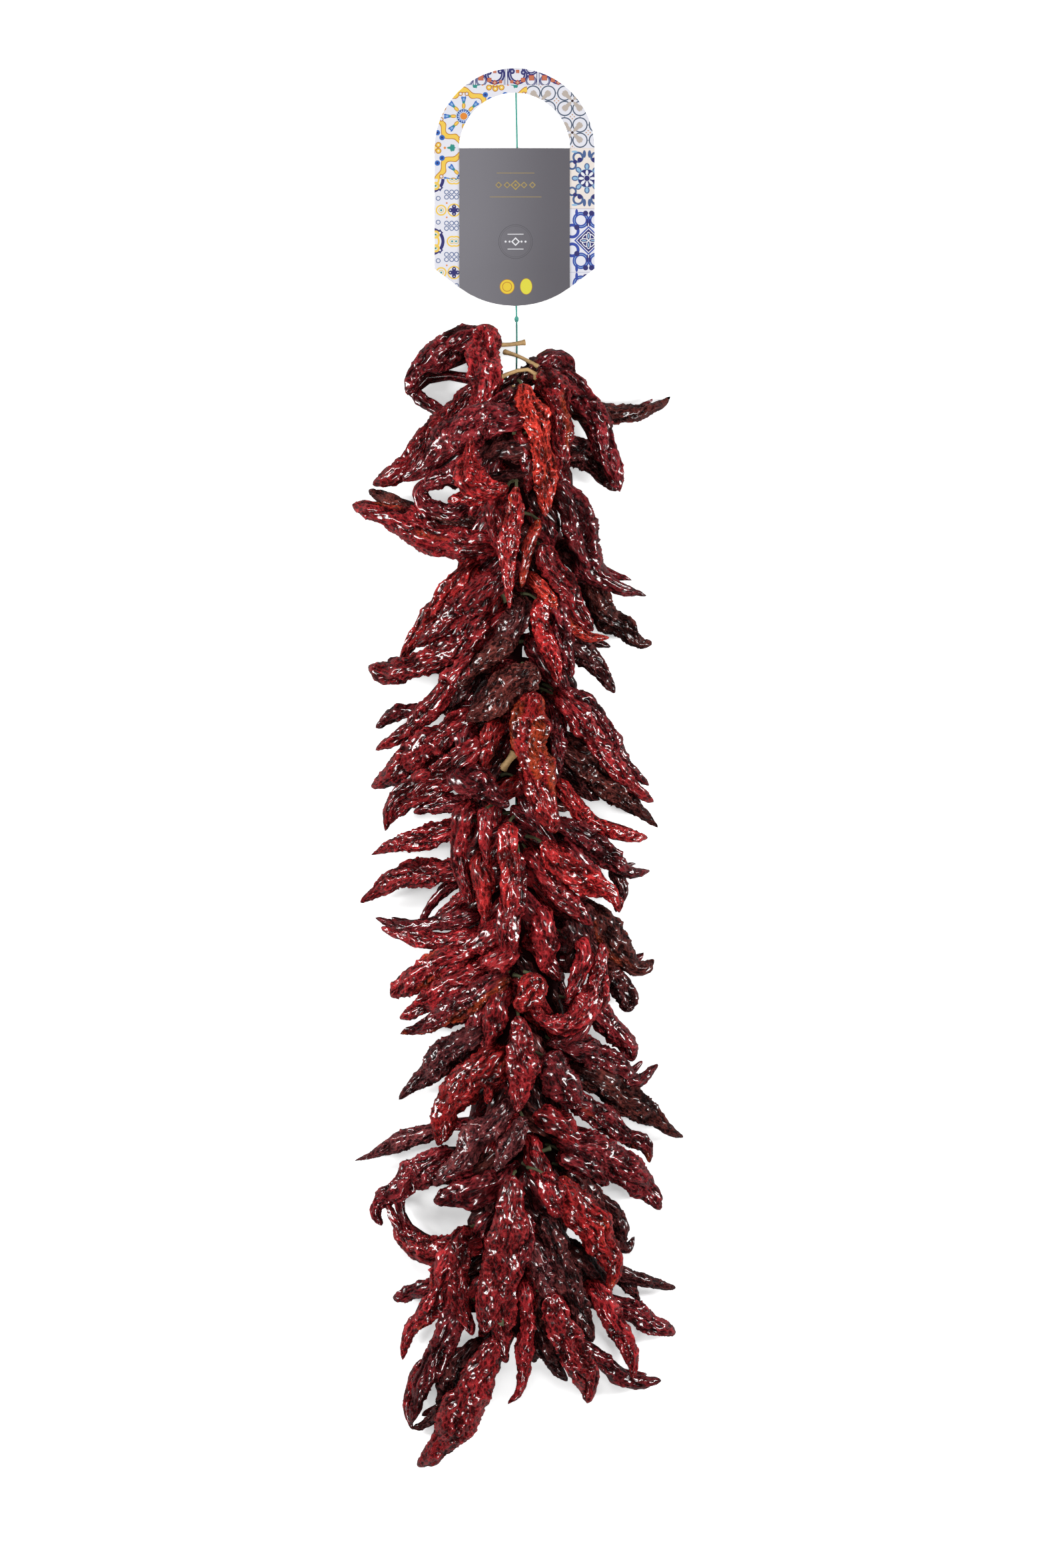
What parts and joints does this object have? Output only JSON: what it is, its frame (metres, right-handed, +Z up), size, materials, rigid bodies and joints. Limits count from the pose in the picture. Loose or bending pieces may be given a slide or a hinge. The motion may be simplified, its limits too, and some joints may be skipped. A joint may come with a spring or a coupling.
{
  "type": "string of dried chillies",
  "caption": "Long bunch of dried red chilli pods tied by their stems to a green twine, with a round-topped printed hang card, lying on its back.",
  "frame": {"origin": "centre of the footprint, on the surface that the part lies on", "axes": "+Y along the string towards the hang card, +X to the right seen from above, +Z up, away from the table"},
  "size_m": [0.336, 1.4114, 0.1311],
  "materials": {
    "chilli_skin": "dried glossy wrinkled skin, burgundy to bright red",
    "printed_card": "matt card with a printed tile pattern",
    "grey_card": "satin dark grey print",
    "green_twine": "twisted twine"
  },
  "bodies": {
    "root": {"chillies": "chilli_skin", "card": "printed_card", "panel": "grey_card", "twine_free": "green_twine", "twine_held": "green_twine", "knot_middle": "green_twine", "knot_inner": "green_twine", "knot_end": "green_twine"}
  },
  "joints": []
}
